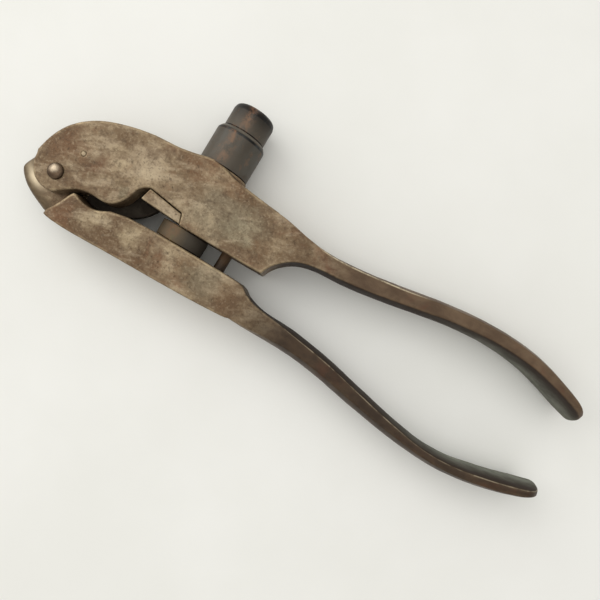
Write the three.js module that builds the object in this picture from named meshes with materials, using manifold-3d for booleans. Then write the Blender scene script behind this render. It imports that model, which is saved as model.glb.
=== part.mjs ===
// Cartridge reloading and crimping tongs, built as separate pieces.
// Millimetres, +Z up. The tool lies on its side: X runs along it from the
// hinge end to the handle ends, Y is the axis of the die.
import * as THREE from 'three';
import { mergeVertices } from 'three/addons/utils/BufferGeometryUtils.js';
import Module from 'manifold-3d';

const wasm = await Module();
wasm.setup();

// ---------------------------------------------------------------- sizes
const W = 21.4;              // full width of both heads across the tool
const ZC = W / 2;            // middle plane of the tool
const HINGE = [-97.16, -5.4];
const EXT_PIVOT = [-91.88, 4.95];
const DIE_X = -49.05;        // die axis, parallel to Y
const POST_X = -31.6;        // axis of the recapping post

// Outlines, seen from above, in millimetres.
const FRAME_TOP = [[-106.76, -1.90], [-106.15, 0.54], [-105.63, 3.14], [-104.05, 7.41], [-101.91, 10.76], [-99.45, 13.57], [-96.64, 15.80], [-93.63, 17.69], [-90.45, 19.31], [-87.04, 20.53], [-83.53, 21.60], [-79.93, 22.52], [-76.24, 23.29], [-72.37, 23.75], [-70.47, 24.05], [-62.97, 24.00], [-57.06, 25.89], [-54.16, 26.59], [-50.86, 27.33], [-49.00, 26.99], [-46.56, 26.39], [-44.43, 25.59], [-41.80, 24.68], [-39.64, 24.53], [-36.50, 24.13], [-32.87, 23.62], [-29.82, 23.38], [-26.19, 22.86], [-22.34, 22.68]];
const FRAME_ARCH = [[-13.46, 6.52], [-15.10, 4.41], [-16.08, 2.58], [-16.65, 0.78]];
const FRAME_EDGE = [[-25.26, 0.65], [-32.76, 0.65], [-39.96, 0.65], [-50.25, 0.65], [-51.46, 4.77], [-65.45, 6.78]];
const FRAME_BELLY = [[-67.04, 5.91], [-68.51, 4.90], [-69.36, 3.56], [-69.73, 2.09], [-70.43, -0.20], [-71.40, -2.03], [-72.47, -3.71], [-73.85, -4.87], [-75.39, -5.75], [-77.23, -6.15], [-79.30, -6.15], [-81.56, -5.85], [-83.54, -6.00], [-85.83, -6.34], [-87.84, -7.13]];
const FRAME_NOSE = [[-90.23, -8.69], [-93.05, -10.89], [-94.49, -11.96], [-96.20, -12.57], [-97.87, -12.54], [-99.73, -12.20], [-101.38, -11.53], [-103.06, -10.47], [-104.46, -8.82], [-105.75, -6.69], [-106.21, -4.89], [-106.33, -3.09]];
const FRAME_HANDLE_IN = [[-15.19, 4.57], [-12.88, 7.62], [-10.10, 9.91], [-6.87, 11.43], [-3.36, 12.50], [0.51, 12.96], [4.38, 13.42], [8.44, 13.58], [16.19, 14.50], [23.66, 15.88], [31.04, 17.41], [38.42, 18.94], [45.80, 20.47], [53.18, 22.00], [61.02, 22.76], [69.04, 23.23], [77.61, 22.77], [82.04, 22.32], [86.73, 21.41], [91.62, 20.19], [96.20, 19.05], [99.90, 17.95], [103.40, 16.80], [106.70, 15.55], [109.50, 14.25]];
const FRAME_HANDLE_OUT = [[-30.59, 23.99], [-26.87, 23.46], [-22.42, 23.15], [-18.79, 22.77], [-15.48, 22.21], [-11.66, 21.53], [-7.84, 20.84], [-3.80, 20.50], [0.55, 20.34], [4.90, 20.19], [12.76, 21.29], [20.71, 22.23], [28.43, 23.55], [36.10, 24.97], [43.61, 26.63], [51.37, 27.89], [59.42, 28.68], [67.74, 28.99], [76.35, 28.84], [81.17, 27.91], [85.80, 27.28], [90.81, 26.03], [96.19, 24.16], [101.30, 22.45], [105.20, 20.85], [108.40, 19.15], [110.70, 17.25]];
const LEVER_NOSE = [[-93.51, -20.50], [-93.32, -18.73], [-91.83, -16.38], [-90.52, -13.72], [-89.42, -11.40], [-88.72, -9.82], [-87.77, -8.42]];
const LEVER_SCOOP = [[-86.47, -8.72], [-85.28, -9.33], [-83.14, -10.12], [-80.98, -10.27], [-78.99, -10.12], [-77.21, -9.63], [-75.33, -8.62], [-73.44, -7.61]];
const LEVER_EDGE = [[-66.78, -6.26], [-55.35, -5.70], [-38.19, -5.70], [-27.72, -5.70], [-20.92, -5.93], [-19.27, -6.60], [-17.08, -8.19]];
const LEVER_BACK = [[-13.37, -19.19], [-21.28, -19.22], [-29.57, -19.85], [-38.16, -20.19], [-45.80, -20.47], [-54.62, -20.57], [-62.21, -20.78], [-71.87, -20.94], [-78.53, -21.25], [-84.26, -21.37], [-87.51, -21.29], [-91.16, -20.95]];
const LEVER_HANDLE_IN = [[-18.24, -7.64], [-15.25, -9.16], [-12.80, -9.77], [-10.46, -10.22], [-6.03, -10.68], [-1.70, -10.98], [3.00, -11.89], [7.60, -12.65], [12.03, -13.11], [16.63, -13.87], [21.24, -14.63], [26.03, -15.69], [30.82, -16.76], [35.61, -17.82], [40.40, -18.89], [45.28, -20.10], [54.49, -21.62], [59.19, -22.53], [63.70, -23.14], [67.94, -23.29], [72.00, -23.14], [75.96, -22.83], [79.84, -22.37], [83.53, -21.60], [87.13, -20.69], [90.82, -19.92], [94.32, -19.00], [97.90, -18.05], [101.30, -17.00], [104.60, -15.95], [107.60, -14.95], [110.10, -14.05]];
const LEVER_HANDLE_OUT = [[-21.83, -19.72], [-17.95, -19.73], [-13.71, -19.69], [-5.46, -19.25], [2.92, -19.03], [11.75, -19.55], [21.07, -20.89], [30.94, -23.14], [40.39, -24.70], [49.75, -26.10], [58.92, -27.19], [67.62, -27.50], [71.97, -27.65], [76.04, -27.34], [80.01, -26.87], [83.89, -26.24], [87.68, -25.45], [91.47, -24.67], [95.16, -23.73], [98.90, -22.55], [103.60, -20.75], [107.80, -18.95], [111.10, -17.05]];
const TONGUE_RIM = [[-109.66, -3.24], [-110.44, -4.78], [-111.45, -6.67], [-112.14, -8.37], [-112.36, -9.78], [-112.14, -10.51], [-110.91, -12.33], [-109.05, -14.21], [-106.79, -15.85], [-105.50, -16.57], [-103.02, -17.85], [-99.62, -19.24], [-96.82, -20.33]];
const TONGUE_ROOT = [[-88.80, -20.49], [-77.41, -14.91], [-81.37, -11.82], [-84.25, -11.23], [-86.54, -9.87], [-88.28, -8.39]];
const HEAD_PLATE = [[-65.35, 6.48], [-66.52, 1.86], [-50.44, 1.07], [-51.55, 4.40]];
const ARM = [[-96.37, 6.67], [-92.44, 7.96], [-86.50, 8.75], [-80.09, 8.75], [-73.30, 8.13], [-66.98, 6.15], [-60.41, 5.18], [-61.07, 2.00], [-62.83, -0.76], [-65.03, -3.50], [-67.32, -5.39], [-70.65, -6.96], [-75.30, -8.47], [-80.08, -10.49], [-84.16, -10.80], [-87.56, -9.42], [-89.73, -6.88], [-92.72, -2.26], [-95.93, 3.08]];

// ---------------------------------------------------------------- helpers
function toSolid(geometry) {
  let g = geometry.clone();
  g.deleteAttribute('normal');
  g.deleteAttribute('uv');
  g = mergeVertices(g, 1e-4);
  const triVerts = Uint32Array.from(g.index.array);
  const vertProperties = Float32Array.from(g.attributes.position.array);
  return new wasm.Manifold(new wasm.Mesh({ numProp: 3, vertProperties, triVerts }));
}
function toGeometry(solid) {
  const m = solid.getMesh();
  const pos = new Float32Array(m.numVert * 3);
  for (let i = 0; i < m.numVert; i++)
    for (let k = 0; k < 3; k++) pos[i * 3 + k] = m.vertProperties[i * m.numProp + k];
  const g = new THREE.BufferGeometry();
  g.setAttribute('position', new THREE.BufferAttribute(pos, 3));
  g.setIndex(new THREE.BufferAttribute(Uint32Array.from(m.triVerts), 1));
  const flat = g.toNonIndexed();
  flat.computeVertexNormals();
  return flat;
}
const union = (...s) => s.reduce((a, b) => a.add(b));
const cut = (a, ...s) => s.reduce((x, b) => x.subtract(b), a);

// Light averaging of a hand-forged edge, ends kept.
function ease(pts, times = 1) {
  let p = pts.map((q) => q.slice());
  for (let t = 0; t < times; t++)
    p = p.map((q, i) => (i === 0 || i === p.length - 1 ? q
      : [(p[i - 1][0] + 2 * q[0] + p[i + 1][0]) / 4, (p[i - 1][1] + 2 * q[1] + p[i + 1][1]) / 4]));
  return p;
}
// A smooth run through the points, sampled evenly.
function smooth(pts, n, times = 1) {
  const c = new THREE.CatmullRomCurve3(ease(pts, times).map(([x, y]) => new THREE.Vector3(x, y, 0)), false, 'centripetal');
  return c.getSpacedPoints(n - 1).map((v) => [v.x, v.y]);
}
function area2(p) {
  let a = 0;
  for (let i = 0; i < p.length; i++) {
    const q = p[(i + 1) % p.length];
    a += p[i][0] * q[1] - q[0] * p[i][1];
  }
  return a;
}
// Straight-sided plate between two heights, with an optional edge bevel.
function plate(pts, z0, z1, bevel = 0) {
  const p = area2(pts) < 0 ? pts.slice().reverse() : pts;
  const shape = new THREE.Shape(p.map(([x, y]) => new THREE.Vector2(x, y)));
  const g = new THREE.ExtrudeGeometry(shape, {
    depth: z1 - z0 - 2 * bevel, steps: 1, curveSegments: 1,
    bevelEnabled: bevel > 0, bevelThickness: bevel, bevelSize: bevel, bevelOffset: -bevel, bevelSegments: 2,
  });
  g.translate(0, 0, z0 + bevel);
  return toSolid(g);
}
// Upright round (along Z).
function roundZ(x, y, r, z0, z1, n = 48) {
  const g = new THREE.CylinderGeometry(r, r, z1 - z0, n, 1);
  g.rotateX(Math.PI / 2);
  g.translate(x, y, (z0 + z1) / 2);
  return toSolid(g);
}
// Round along the die direction (Y).
function roundY(x, r, y0, y1, n = 48) {
  const g = new THREE.CylinderGeometry(r, r, y1 - y0, n, 1);
  g.translate(x, (y0 + y1) / 2, ZC);
  return toSolid(g);
}
// Turned piece about the Y direction from a closed [radius, y] profile.
function turned(x, profile, n = 64) {
  const pts = profile.map(([r, y]) => new THREE.Vector2(Math.max(r, 0), y));
  const onAxis = profile[0][0] === 0 && profile[profile.length - 1][0] === 0;
  if (!onAxis) pts.push(pts[0].clone());
  const g = new THREE.LatheGeometry(pts, n);
  g.translate(x, 0, ZC);
  g.deleteAttribute('normal');
  g.deleteAttribute('uv');
  const m = mergeVertices(g, 1e-4);
  // drop the zero-area faces on the axis
  const idx = [];
  const a = m.index.array;
  for (let i = 0; i < a.length; i += 3)
    if (a[i] !== a[i + 1] && a[i + 1] !== a[i + 2] && a[i] !== a[i + 2]) idx.push(a[i], a[i + 1], a[i + 2]);
  m.setIndex(idx);
  let s = new wasm.Manifold(new wasm.Mesh({
    numProp: 3, vertProperties: Float32Array.from(m.attributes.position.array), triVerts: Uint32Array.from(idx),
  }));
  if (s.volume() < 0) {
    for (let i = 0; i < idx.length; i += 3) [idx[i + 1], idx[i + 2]] = [idx[i + 2], idx[i + 1]];
    s = new wasm.Manifold(new wasm.Mesh({
      numProp: 3, vertProperties: Float32Array.from(m.attributes.position.array), triVerts: Uint32Array.from(idx),
    }));
  }
  return s;
}
// Skin over a row of closed rings with the same number of points.
function skin(rings) {
  const n = rings[0].length;
  const v = [];
  rings.forEach((r) => r.forEach((p) => v.push(...p)));
  const mid = (r) => r.reduce((a, p) => [a[0] + p[0] / n, a[1] + p[1] / n, a[2] + p[2] / n], [0, 0, 0]);
  v.push(...mid(rings[0]), ...mid(rings[rings.length - 1]));
  const c0 = rings.length * n;
  const c1 = c0 + 1;
  const t = [];
  for (let i = 0; i < rings.length - 1; i++)
    for (let k = 0; k < n; k++) {
      const a = i * n + k;
      const b = i * n + ((k + 1) % n);
      t.push(a, b, b + n, a, b + n, a + n);
    }
  for (let k = 0; k < n; k++) {
    t.push(c0, (k + 1) % n, k);
    const e = (rings.length - 1) * n;
    t.push(c1, e + k, e + ((k + 1) % n));
  }
  const make = (tri) => new wasm.Manifold(new wasm.Mesh({
    numProp: 3, vertProperties: Float32Array.from(v), triVerts: Uint32Array.from(tri),
  }));
  let s = make(t);
  if (s.volume() < 0) {
    const f = [];
    for (let i = 0; i < t.length; i += 3) f.push(t[i], t[i + 2], t[i + 1]);
    s = make(f);
  }
  return s;
}
const INNER_CROWN = 1.6;
function lookup(table, x) {
  if (x <= table[0][0]) return table[0][1];
  for (let i = 1; i < table.length; i++)
    if (x <= table[i][0]) {
      const u = (x - table[i - 1][0]) / (table[i][0] - table[i - 1][0]);
      const s = u * u * (3 - 2 * u);
      return table[i - 1][1] * (1 - s) + table[i][1] * s;
    }
  return table[table.length - 1][1];
}
// A forged handle: lightly crowned towards the other handle, more on the outside,
// narrow behind the head and opening into a round-ended spoon.
function handle(inner, outer, widths, stations) {
  // stations crowd together towards the rounded end
  const run = (pts) => {
    const c = new THREE.CatmullRomCurve3(ease(pts, 2).map(([x, y]) => new THREE.Vector3(x, y, 0)), false, 'centripetal');
    c.arcLengthDivisions = 600;
    return Array.from({ length: stations }, (_, i) => {
      const u = i / (stations - 1);
      const v = c.getPointAt(u < 0.7 ? (u / 0.7) * 0.9 : 0.9 + 0.1 * (1 - ((1 - u) / 0.3) ** 1.7));
      return [v.x, v.y];
    });
  };
  const a = run(inner);
  const b = run(outer);
  const tip = (a[stations - 1][0] + b[stations - 1][0]) / 2;
  const rings = a.map((p, i) => {
    const q = b[i];
    const T = Math.hypot(q[0] - p[0], q[1] - p[1]);
    const u = [(q[0] - p[0]) / T, (q[1] - p[1]) / T];
    const xm = (p[0] + q[0]) / 2;
    let w = lookup(widths, xm);
    const e = Math.max(tip - xm, 0);
    const L = 8.5;
    if (e < L) w *= Math.sqrt(Math.max(1 - (1 - (e + 0.12) / (L + 0.12)) ** 2.3, 0.03));
    const c = Math.min(2.1, 0.42 * T);
    const r = Math.min(0.5, 0.15 * T);
    const s = Math.min(Math.max((xm + 12) / 18, 0), 1);
    const ci = INNER_CROWN * s * s * (3 - 2 * s) * Math.min(1, w / 6);
    const sec = [-0.93, -0.66, -0.34, 0, 0.34, 0.66, 0.93].map((f) => [-ci * (1 - f * f), f * w]);
    sec.push([r, w], [T - c, w]);
    for (const f of [0.88, 0.66, 0.36, 0, -0.36, -0.66, -0.88]) sec.push([T - c * f * f * (0.75 + 0.25 * f * f), f * w]);
    sec.push([T - c, -w], [r, -w]);
    return sec.map(([d, z]) => [p[0] + u[0] * d, p[1] + u[1] * d, ZC + z]);
  });
  return skin(rings);
}
const arc = (c, r, a0, a1, n) => Array.from({ length: n + 1 }, (_, i) => {
  const a = ((a0 + ((a1 - a0) * i) / n) * Math.PI) / 180;
  return [c[0] + r * Math.cos(a), c[1] + r * Math.sin(a)];
});
// Moves an outline outwards (a little play around a moving piece).
function grow(pts, d) {
  const p = area2(pts) < 0 ? pts.slice().reverse() : pts;
  return p.map((q, i) => {
    const a = p[(i + p.length - 1) % p.length];
    const b = p[(i + 1) % p.length];
    const n1 = [q[1] - a[1], a[0] - q[0]];
    const n2 = [b[1] - q[1], q[0] - b[0]];
    const l1 = Math.hypot(...n1);
    const l2 = Math.hypot(...n2);
    const n = [n1[0] / l1 + n2[0] / l2, n1[1] / l1 + n2[1] / l2];
    const k = Math.max((n[0] * n[0] + n[1] * n[1]) / 2, 0.5);
    return [q[0] + (n[0] * d) / k, q[1] + (n[1] * d) / k];
  });
}
const turnAbout = (pts, c, deg) => {
  const a = (deg * Math.PI) / 180;
  return pts.map(([x, y]) => [
    c[0] + (x - c[0]) * Math.cos(a) - (y - c[1]) * Math.sin(a),
    c[1] + (x - c[0]) * Math.sin(a) + (y - c[1]) * Math.cos(a),
  ]);
};

// ---------------------------------------------------------------- frame
// Upper lever: solid head that carries the die, forked at the hinge.
const frameOutline = [
  ...smooth(FRAME_TOP, 70, 1),
  ...FRAME_ARCH, ...FRAME_EDGE,
  ...smooth(FRAME_BELLY, 26, 1), ...smooth(FRAME_NOSE, 22, 0),
];
const FRAME_WIDTHS = [[-24, 10.7], [-15, 10.6], [-2, 8.7], [12, 7.8], [38, 7.5], [56, 8.0], [74, 9.5], [90, 10.5], [101, 10.7]];
let frame = plate(frameOutline, 0, W, 0.8);
frame = union(
  frame,
  handle(FRAME_HANDLE_IN, FRAME_HANDLE_OUT, FRAME_WIDTHS, 64),
  roundY(DIE_X, 10.15, 20, 26.5, 64),
);
// fork for the knuckle of the lower lever
const FORK_WALL = [[95, 10.6], [103, 12.2], [110, 13.6], [117, 14.8], [124, 15.8], [134, 16.4], ...Array.from({ length: 15 }, (_, i) => [144 + i * 9, 16.4])];
const forkZ0 = ZC - 5.1;
const forkZ1 = ZC + 5.1;
frame = cut(
  frame,
  plate([...arc(HINGE, 8.6, -40, 88, 18), ...FORK_WALL.map(([a, r]) => [HINGE[0] + r * Math.cos((a * Math.PI) / 180), HINGE[1] + r * Math.sin((a * Math.PI) / 180)]), [HINGE[0] + 3, HINGE[1] - 14.6], [HINGE[0] + 12.6, HINGE[1] - 8.4]], forkZ0, forkZ1),
);
// thin slot in the middle plane for the extractor arm, with room for its swing
for (const t of [0, -4, -8, -12]) frame = frame.subtract(plate(turnAbout(grow(ARM, 0.55), EXT_PIVOT, t), ZC - 1.85, ZC + 1.85));
frame = cut(
  frame,
  roundZ(...EXT_PIVOT, 4.2, ZC - 1.85, ZC + 1.85, 40),
  roundZ(...HINGE, 2.57, -1, W + 1, 48),
  roundZ(...EXT_PIVOT, 0.87, -1, W + 1, 32),
  roundY(DIE_X, 7.62, 7.6, 30, 72),
  roundY(DIE_X, 5.7, -1, 9, 56),
  roundY(DIE_X, 10.6, 26.5, 34, 64),
  roundY(POST_X, 2.65, -1, 8.5, 48),
);

// ---------------------------------------------------------------- lower lever
const leverOutline = [
  ...smooth(LEVER_NOSE, 10, 0), ...smooth(LEVER_SCOOP, 14, 1),
  ...LEVER_EDGE, ...smooth(LEVER_BACK, 24, 1),
];
const LEVER_WIDTHS = [[-24, 10.7], [-17, 10.6], [-2, 8.7], [12, 7.8], [38, 7.5], [56, 8.0], [74, 9.5], [90, 10.5], [101, 10.7]];
const knuckle = [
  ...smooth(TONGUE_RIM, 30, 1), ...TONGUE_ROOT,
  ...arc(HINGE, 8.0, -22, 158, 26),
];
let lever = union(
  plate(leverOutline, 0, W, 0.8),
  handle(LEVER_HANDLE_IN, LEVER_HANDLE_OUT, LEVER_WIDTHS, 64),
);
lever = union(lever, plate(knuckle, ZC - 4.8, ZC + 4.8, 1.4));
lever = cut(
  lever,
  roundZ(...HINGE, 2.57, -1, W + 1, 48),
  roundY(DIE_X, 3.06, -14, 0, 72),
  roundY(POST_X, 2.46, -13, 0, 40),
);

// ---------------------------------------------------------------- small pieces
const hingePin = union(
  roundZ(...HINGE, 2.5, 0.25, W + 0.6, 48),
  (() => {
    const R = 2.85; const prof = [[0, W + 0.2], [R, W + 0.2]];
    for (let i = 0; i <= 6; i++) { const a = (i / 6) * (Math.PI / 2); prof.push([R * Math.cos(a), W + 0.35 + 1.15 * Math.sin(a)]); }
    prof[prof.length - 1][0] = 0;
    const g = new THREE.LatheGeometry(prof.map(([r, y]) => new THREE.Vector2(r, y)), 48);
    g.rotateX(Math.PI / 2);
    g.translate(HINGE[0], HINGE[1], 0);
    g.deleteAttribute('normal'); g.deleteAttribute('uv');
    const m = mergeVertices(g, 1e-4);
    const a = m.index.array; const idx = [];
    for (let i = 0; i < a.length; i += 3) if (a[i] !== a[i + 1] && a[i + 1] !== a[i + 2] && a[i] !== a[i + 2]) idx.push(a[i], a[i + 1], a[i + 2]);
    const mk = (t) => new wasm.Manifold(new wasm.Mesh({ numProp: 3, vertProperties: Float32Array.from(m.attributes.position.array), triVerts: Uint32Array.from(t) }));
    let s = mk(idx);
    if (s.volume() < 0) { const f = []; for (let i = 0; i < idx.length; i += 3) f.push(idx[i], idx[i + 2], idx[i + 1]); s = mk(f); }
    return s;
  })(),
);
const extractorPin = roundZ(...EXT_PIVOT, 0.8, 0.2, W - 0.05, 32);

// Extractor: thin arm in the fork, full-width plate across the die mouth.
let arm = cut(plate(ARM, ZC - 1.5, ZC + 1.5), roundZ(...HINGE, 10.4, 0, W, 48));
for (const t of [0, 15, 30, 45, 60]) {
  // where the lever stands, seen from the arm, when the levers are t degrees apart
  const seen = (pts, d) => turnAbout(turnAbout(grow(pts, d), HINGE, -t), EXT_PIVOT, 0.2 * t);
  arm = cut(arm, plate(seen(knuckle, 0.45), 0, W));
  if (t < 20) arm = cut(arm, plate(seen(leverOutline, 0.45), 0, W));
}
const extractor = cut(
  union(
    arm,
    roundZ(...EXT_PIVOT, 3.5, ZC - 1.5, ZC + 1.5, 40),
    plate(HEAD_PLATE, 0, W, 0.4),
  ),
  roundZ(...EXT_PIVOT, 0.87, -1, W + 1, 32),
  roundY(DIE_X, 5.4, -2, 9, 56),
);

// Die: shank in the head, large collar with a turned shoulder, stepped bore.
const die = turned(DIE_X, [
  [5.2, 8.0], [7.0, 8.0], [7.5, 8.5], [7.5, 26.2], [7.5, 26.75], [9.55, 26.75], [9.75, 27.0],
  [9.75, 39.4], [9.65, 39.8], [9.35, 40.05], [5.8, 40.05], [5.8, 33.4], [4.2, 33.0], [4.2, 28.6], [5.2, 27.4],
], 72);
const lockRing = turned(DIE_X, [
  [6.0, 40.2], [9.2, 40.2], [9.3, 40.35], [8.75, 41.05], [8.45, 41.2], [6.0, 41.2],
], 72);
// Adjusting cap: round-ended head, shank down into the die, blind bore for the stem.
const cap = turned(DIE_X, [
  [0, 46.4], [3.0, 46.4], [3.0, 34.0], [5.4, 34.0], [5.7, 34.3], [5.7, 41.35], [8.0, 41.35], [8.2, 41.55],
  [8.2, 48.6], [8.0, 49.6], [7.45, 50.5], [6.5, 51.1], [5.4, 51.4], [0, 51.4],
], 72);
const stem = turned(DIE_X, [
  [0, 24.2], [2.6, 24.2], [2.2, 25.4], [4.1, 25.4], [4.1, 26.2], [4.1, 31.6], [2.9, 32.4], [2.9, 46.0], [0, 46.0],
], 72);

// Loading anvil: pushes the cartridge up into the die.
const anvil = turned(DIE_X, [
  [0, -13.2], [2.6, -13.2], [3.0, -12.8], [3.0, -5.6], [9.05, -5.6], [9.25, -5.4], [9.25, 0.22], [9.05, 0.42], [6.2, 0.42], [6.2, -0.9], [0, -0.9],
], 72);
// Recapping punch: slim round pin riveted into the lever, rising into its hole in the frame.
const punch = turned(POST_X, [
  [0, -12.2], [2.0, -12.2], [2.4, -11.8], [2.4, -5.8], [2.15, -5.6], [2.15, 3.0], [1.75, 3.4], [0, 3.4],
], 48);

// ---------------------------------------------------------------- assembly
const tool = new THREE.Group();
tool.name = 'crimping_tool';
const shift = [0.554, -11.969];
tool.position.set(shift[0], shift[1], 0);
const steel = (color, roughness, metalness) => new THREE.MeshStandardMaterial({ color, roughness, metalness });
function piece(name, solid, material) {
  const m = new THREE.Mesh(toGeometry(solid), material);
  m.name = name;
  tool.add(m);
}
piece('frame', frame, steel(0x85715c, 0.55, 0.75));
piece('lower_lever', lever, steel(0x857059, 0.55, 0.75));
piece('hinge_pin', hingePin, steel(0x8f7d68, 0.45, 0.8));
piece('extractor', extractor, steel(0x8a7762, 0.5, 0.75));
piece('extractor_pin', extractorPin, steel(0x9c8f7e, 0.4, 0.85));
piece('die_body', die, steel(0x2b2622, 0.4, 0.8));
piece('lock_ring', lockRing, steel(0x2e2824, 0.45, 0.8));
piece('seating_cap', cap, steel(0x2c2723, 0.4, 0.8));
piece('seating_stem', stem, steel(0x6f675c, 0.4, 0.85));
piece('loading_anvil', anvil, steel(0x6a543e, 0.55, 0.7));
piece('recapping_punch', punch, steel(0x5a4c3b, 0.45, 0.8));

export default tool;
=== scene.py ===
import math

import bmesh
import bpy
import numpy as np
from mathutils import Matrix, Vector, noise


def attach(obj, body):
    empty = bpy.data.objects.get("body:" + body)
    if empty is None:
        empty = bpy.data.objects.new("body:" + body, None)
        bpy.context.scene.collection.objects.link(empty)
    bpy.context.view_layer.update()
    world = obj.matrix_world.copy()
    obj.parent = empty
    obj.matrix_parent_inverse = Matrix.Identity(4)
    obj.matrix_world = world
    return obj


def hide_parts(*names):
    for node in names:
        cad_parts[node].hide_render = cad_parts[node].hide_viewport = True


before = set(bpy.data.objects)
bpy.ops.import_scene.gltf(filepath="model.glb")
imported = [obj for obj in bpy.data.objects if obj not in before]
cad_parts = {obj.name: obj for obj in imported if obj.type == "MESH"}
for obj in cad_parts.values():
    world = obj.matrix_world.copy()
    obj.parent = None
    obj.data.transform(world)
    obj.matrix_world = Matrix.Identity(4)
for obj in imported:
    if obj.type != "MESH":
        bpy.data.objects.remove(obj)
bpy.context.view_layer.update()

# ------------------------------------------------------------------ sizes (mm)
W = 21.4
ZC = W / 2
HINGE = (-97.16, -5.4)
EXT_PIVOT = (-91.88, 4.95)
DIE_X = -49.05
POST_X = -31.6
SHIFT = (0.554, -11.969)

FRAME_TOP = [[-106.76, -1.90], [-106.15, 0.54], [-105.63, 3.14], [-104.05, 7.41], [-101.91, 10.76], [-99.45, 13.57], [-96.64, 15.80], [-93.63, 17.69], [-90.45, 19.31], [-87.04, 20.53], [-83.53, 21.60], [-79.93, 22.52], [-76.24, 23.29], [-72.37, 23.75], [-70.47, 24.05], [-62.97, 24.00], [-57.06, 25.89], [-54.16, 26.59], [-50.86, 27.33], [-49.00, 26.99], [-46.56, 26.39], [-44.43, 25.59], [-41.80, 24.68], [-39.64, 24.53], [-36.50, 24.13], [-32.87, 23.62], [-29.82, 23.38], [-26.19, 22.86], [-22.34, 22.68]]
FRAME_ARCH = [[-13.46, 6.52], [-15.10, 4.41], [-16.08, 2.58], [-16.65, 0.78]]
FRAME_EDGE = [[-25.26, 0.65], [-32.76, 0.65], [-39.96, 0.65], [-50.25, 0.65], [-51.46, 4.77], [-65.45, 6.78]]
FRAME_BELLY = [[-67.04, 5.91], [-68.51, 4.90], [-69.36, 3.56], [-69.73, 2.09], [-70.43, -0.20], [-71.40, -2.03], [-72.47, -3.71], [-73.85, -4.87], [-75.39, -5.75], [-77.23, -6.15], [-79.30, -6.15], [-81.56, -5.85], [-83.54, -6.00], [-85.83, -6.34], [-87.84, -7.13]]
FRAME_NOSE = [[-90.23, -8.69], [-93.05, -10.89], [-94.49, -11.96], [-96.20, -12.57], [-97.87, -12.54], [-99.73, -12.20], [-101.38, -11.53], [-103.06, -10.47], [-104.46, -8.82], [-105.75, -6.69], [-106.21, -4.89], [-106.33, -3.09]]
FRAME_HANDLE_IN = [[-15.19, 4.57], [-12.88, 7.62], [-10.10, 9.91], [-6.87, 11.43], [-3.36, 12.50], [0.51, 12.96], [4.38, 13.42], [8.44, 13.58], [16.19, 14.50], [23.66, 15.88], [31.04, 17.41], [38.42, 18.94], [45.80, 20.47], [53.18, 22.00], [61.02, 22.76], [69.04, 23.23], [77.61, 22.77], [82.04, 22.32], [86.73, 21.41], [91.62, 20.19], [96.20, 19.05], [99.90, 17.95], [103.40, 16.80], [106.70, 15.55], [109.50, 14.25]]
FRAME_HANDLE_OUT = [[-30.59, 23.99], [-26.87, 23.46], [-22.42, 23.15], [-18.79, 22.77], [-15.48, 22.21], [-11.66, 21.53], [-7.84, 20.84], [-3.80, 20.50], [0.55, 20.34], [4.90, 20.19], [12.76, 21.29], [20.71, 22.23], [28.43, 23.55], [36.10, 24.97], [43.61, 26.63], [51.37, 27.89], [59.42, 28.68], [67.74, 28.99], [76.35, 28.84], [81.17, 27.91], [85.80, 27.28], [90.81, 26.03], [96.19, 24.16], [101.30, 22.45], [105.20, 20.85], [108.40, 19.15], [110.70, 17.25]]
LEVER_NOSE = [[-93.51, -20.50], [-93.32, -18.73], [-91.83, -16.38], [-90.52, -13.72], [-89.42, -11.40], [-88.72, -9.82], [-87.77, -8.42]]
LEVER_SCOOP = [[-86.47, -8.72], [-85.28, -9.33], [-83.14, -10.12], [-80.98, -10.27], [-78.99, -10.12], [-77.21, -9.63], [-75.33, -8.62], [-73.44, -7.61]]
LEVER_EDGE = [[-66.78, -6.26], [-55.35, -5.70], [-38.19, -5.70], [-27.72, -5.70], [-20.92, -5.93], [-19.27, -6.60], [-17.08, -8.19]]
LEVER_BACK = [[-13.37, -19.19], [-21.28, -19.22], [-29.57, -19.85], [-38.16, -20.19], [-45.80, -20.47], [-54.62, -20.57], [-62.21, -20.78], [-71.87, -20.94], [-78.53, -21.25], [-84.26, -21.37], [-87.51, -21.29], [-91.16, -20.95]]
LEVER_HANDLE_IN = [[-18.24, -7.64], [-15.25, -9.16], [-12.80, -9.77], [-10.46, -10.22], [-6.03, -10.68], [-1.70, -10.98], [3.00, -11.89], [7.60, -12.65], [12.03, -13.11], [16.63, -13.87], [21.24, -14.63], [26.03, -15.69], [30.82, -16.76], [35.61, -17.82], [40.40, -18.89], [45.28, -20.10], [54.49, -21.62], [59.19, -22.53], [63.70, -23.14], [67.94, -23.29], [72.00, -23.14], [75.96, -22.83], [79.84, -22.37], [83.53, -21.60], [87.13, -20.69], [90.82, -19.92], [94.32, -19.00], [97.90, -18.05], [101.30, -17.00], [104.60, -15.95], [107.60, -14.95], [110.10, -14.05]]
LEVER_HANDLE_OUT = [[-21.83, -19.72], [-17.95, -19.73], [-13.71, -19.69], [-5.46, -19.25], [2.92, -19.03], [11.75, -19.55], [21.07, -20.89], [30.94, -23.14], [40.39, -24.70], [49.75, -26.10], [58.92, -27.19], [67.62, -27.50], [71.97, -27.65], [76.04, -27.34], [80.01, -26.87], [83.89, -26.24], [87.68, -25.45], [91.47, -24.67], [95.16, -23.73], [98.90, -22.55], [103.60, -20.75], [107.80, -18.95], [111.10, -17.05]]
TONGUE_RIM = [[-109.66, -3.24], [-110.44, -4.78], [-111.45, -6.67], [-112.14, -8.37], [-112.36, -9.78], [-112.14, -10.51], [-110.91, -12.33], [-109.05, -14.21], [-106.79, -15.85], [-105.50, -16.57], [-103.02, -17.85], [-99.62, -19.24], [-96.82, -20.33]]
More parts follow.
